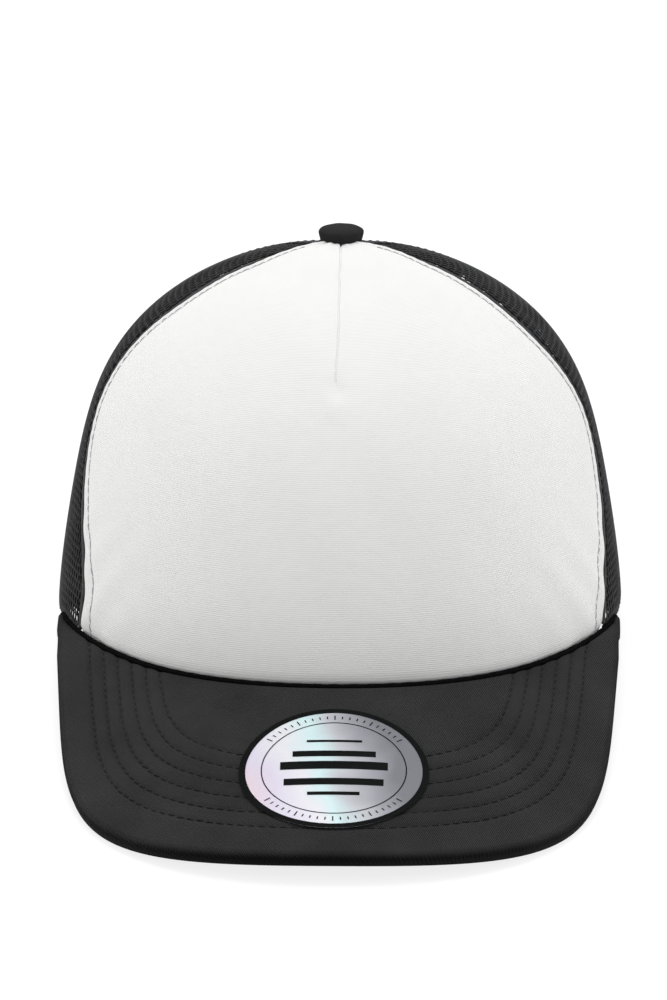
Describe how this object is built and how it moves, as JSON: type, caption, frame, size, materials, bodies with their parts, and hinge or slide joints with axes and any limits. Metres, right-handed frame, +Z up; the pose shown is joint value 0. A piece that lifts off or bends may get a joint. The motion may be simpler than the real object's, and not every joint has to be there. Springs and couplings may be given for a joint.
{
  "type": "trucker mesh cap",
  "caption": "Trucker cap with a white foam front, black net side and back panels, a flat stitched visor with a round foil sticker, and a snap closure.",
  "frame": {"origin": "middle of the bounding box at the surface the cap stands on, with the cap resting on the front corners of its visor and on its back rim", "axes": "+Z up from that surface, front of the cap toward -Y, +X toward the wearer's left when the cap is worn facing -Y"},
  "size_m": [0.176, 0.2646, 0.1165],
  "materials": {
    "white_knit": "fine white knit",
    "white_foam": "open-cell foam laminate",
    "black_net_side_left": "stiff open polyester net",
    "black_net_side_right": "stiff open polyester net",
    "black_net_back_left": "stiff open polyester net",
    "black_net_back_right": "stiff open polyester net",
    "black_binding": "twill binding tape",
    "seam_tape_front_left": "woven seam tape",
    "seam_tape_front_right": "woven seam tape",
    "seam_tape_rear_left": "woven seam tape",
    "seam_tape_rear_right": "woven seam tape",
    "seam_tape_back": "woven seam tape",
    "dart_tape": "woven seam tape",
    "black_sweatband": "brushed cotton twill",
    "white_label": "woven satin label, blank",
    "charcoal_twill_top": "cotton twill",
    "visor_board_plastic": "moulded polyethylene board",
    "charcoal_twill_bottom": "cotton twill",
    "silver_foil": "holographic silver film",
    "charcoal_button_cover": "cotton twill over the button",
    "tinned_steel_shell": "pressed tinned steel",
    "tinned_steel_tack": "pressed tinned steel",
    "black_hole_strap": "moulded polyethylene",
    "black_hole_strap_root": "moulded polyethylene",
    "black_peg_strap": "moulded polyethylene",
    "black_peg_strap_root": "moulded polyethylene"
  },
  "bodies": {
    "cap": {"front_panel_face": "white_knit", "front_panel_foam": "white_foam", "side_net_left": "black_net_side_left", "side_net_right": "black_net_side_right", "back_net_left": "black_net_back_left", "back_net_right": "black_net_back_right", "opening_binding": "black_binding", "seam_tape_front_left": "seam_tape_front_left", "seam_tape_front_right": "seam_tape_front_right", "seam_tape_rear_left": "seam_tape_rear_left", "seam_tape_rear_right": "seam_tape_rear_right", "seam_tape_back": "seam_tape_back", "dart_tape": "dart_tape", "sweatband": "black_sweatband", "inner_label": "white_label", "visor_top_cover": "charcoal_twill_top", "visor_board": "visor_board_plastic", "visor_bottom_cover": "charcoal_twill_bottom", "brim_sticker": "silver_foil", "button_cover": "charcoal_button_cover", "button_shell": "tinned_steel_shell", "button_tack": "tinned_steel_tack", "hole_strap_root": "black_hole_strap_root", "peg_strap_root": "black_peg_strap_root"},
    "hole_strap_body": {"hole_strap": "black_hole_strap"},
    "peg_strap_body": {"peg_strap": "black_peg_strap"}
  },
  "joints": [
    {"name": "hole_strap_bend", "type": "hinge", "parent": "cap", "child": "hole_strap_body", "pos_m": [0.04715, 0.11867, 0.01276], "axis": [0, -0.1274, -0.9919], "range_deg": [0, 50], "stiffness_Nm_per_rad": 0.01},
    {"name": "peg_strap_bend", "type": "hinge", "parent": "cap", "child": "peg_strap_body", "pos_m": [-0.04645, 0.11758, 0.01273], "axis": [0, -0.1274, -0.9919], "range_deg": [0, 30], "stiffness_Nm_per_rad": 0.01}
  ]
}
